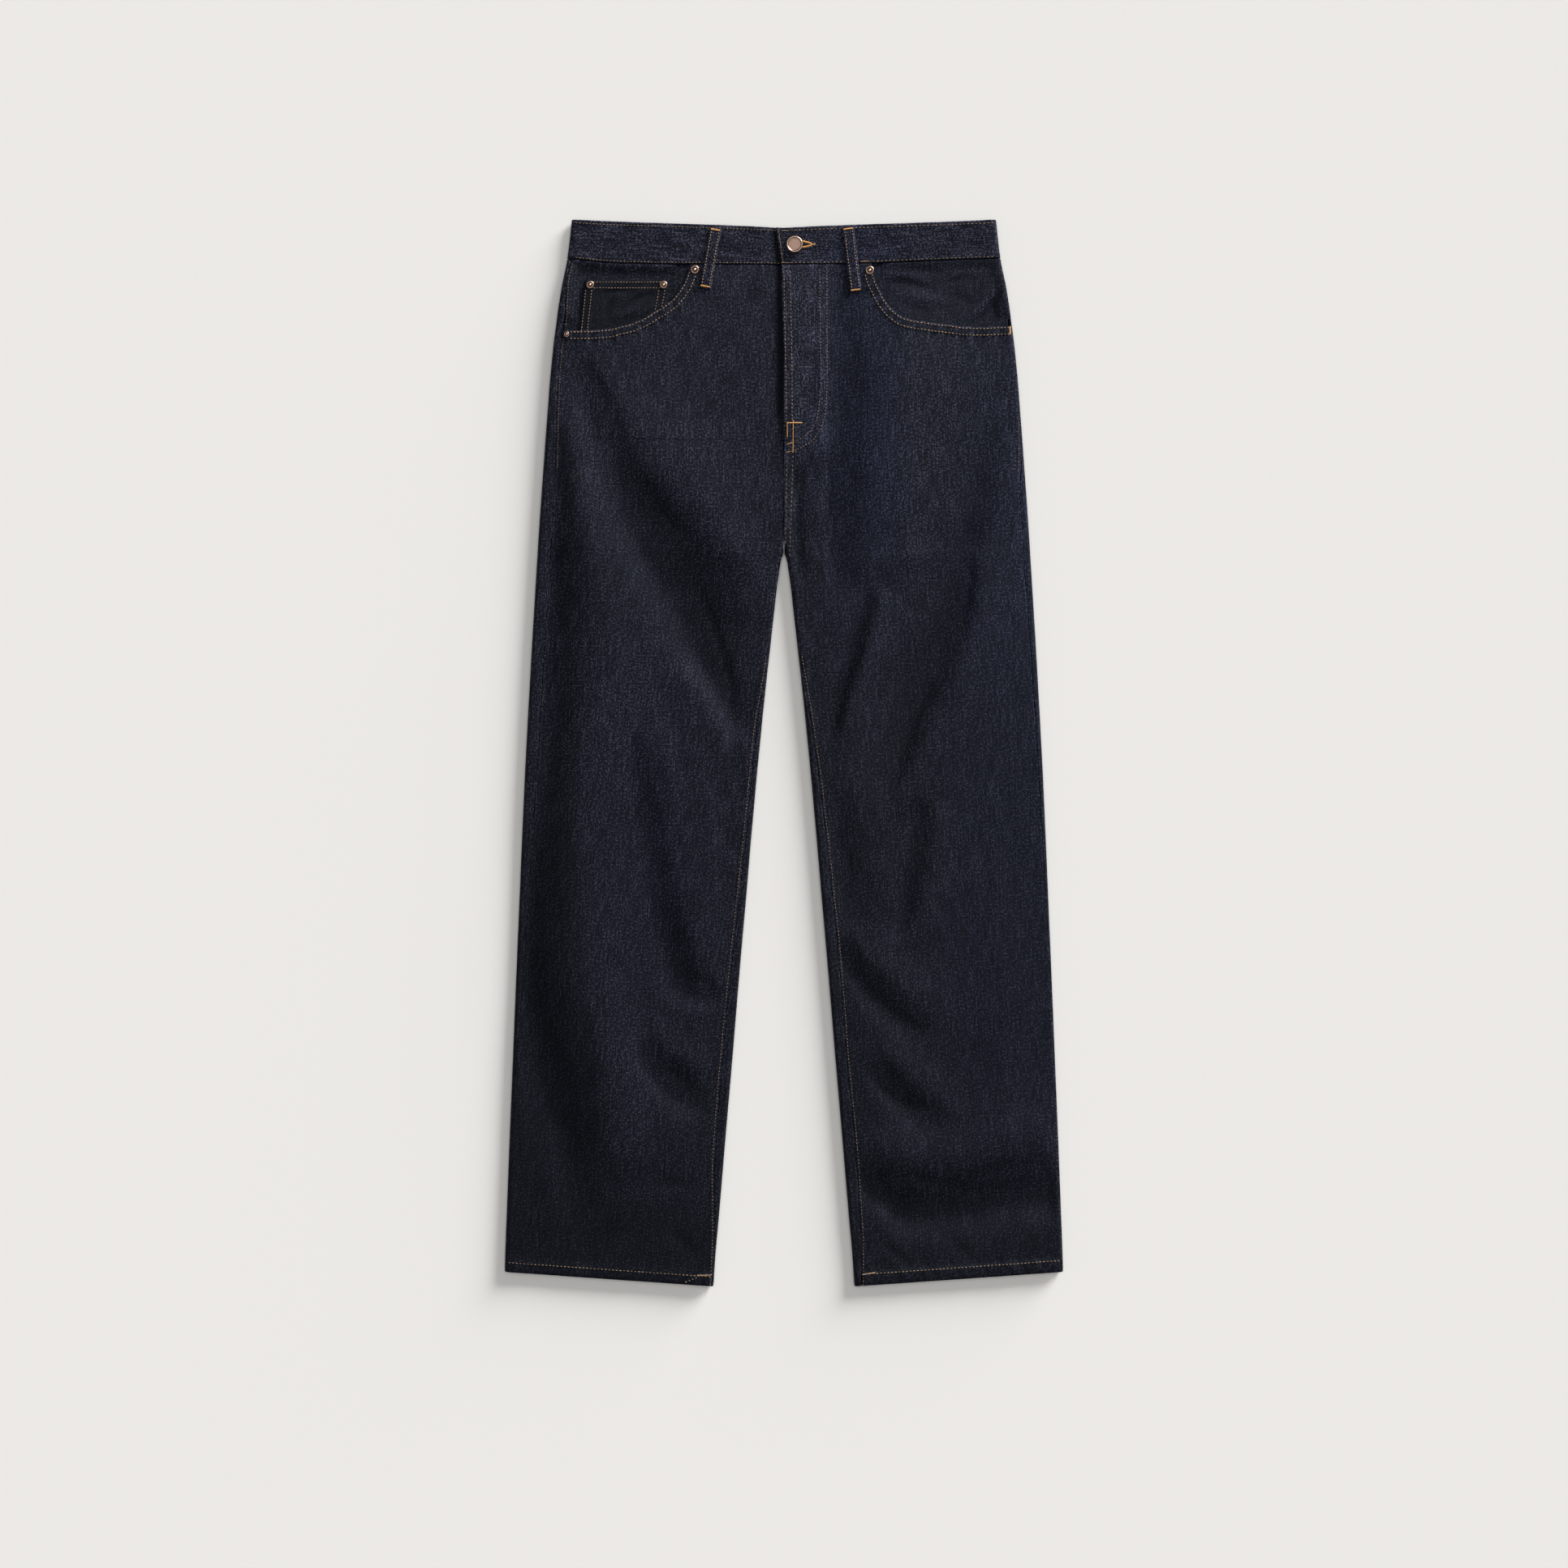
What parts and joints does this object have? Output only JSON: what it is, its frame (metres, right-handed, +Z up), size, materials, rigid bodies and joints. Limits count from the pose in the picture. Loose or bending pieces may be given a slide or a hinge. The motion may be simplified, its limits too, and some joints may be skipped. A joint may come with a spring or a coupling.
{
  "type": "wide leg jeans",
  "caption": "Roomy straight-falling jeans in dark rigid denim, laid flat with the front up: waistband, belt loops, tack button, lapped fly, curved front pockets and riveted coin pocket.",
  "frame": {"origin": "centre of the laid-out jeans' outline, on the surface they lie on", "axes": "+Y along the legs towards the waist, +X towards the wearer's left, +Z up out of the front"},
  "size_m": [0.5636, 1.0763, 0.0209],
  "materials": {
    "denim": "rigid indigo twill, unwashed",
    "copper": "copper-plated, lightly dulled",
    "thread": "tan topstitching thread"
  },
  "bodies": {
    "root": {"front_right": "denim", "front_left": "denim", "back_right": "denim", "back_left": "denim", "yoke_right": "denim", "yoke_left": "denim", "waistband": "denim", "pocket_facing_right": "denim", "pocket_facing_left": "denim", "coin_pocket": "denim", "back_pocket_right": "denim", "back_pocket_left": "denim", "belt_loop_front_right": "denim", "belt_loop_front_left": "denim", "belt_loop_back_right": "denim", "belt_loop_back_centre": "denim", "belt_loop_back_left": "denim", "button": "copper", "rivet_pocket_right": "copper", "rivet_pocket_left": "copper", "rivet_coin_inner": "copper", "rivet_coin_outer": "copper", "rivet_side_right": "copper"}
  },
  "joints": []
}
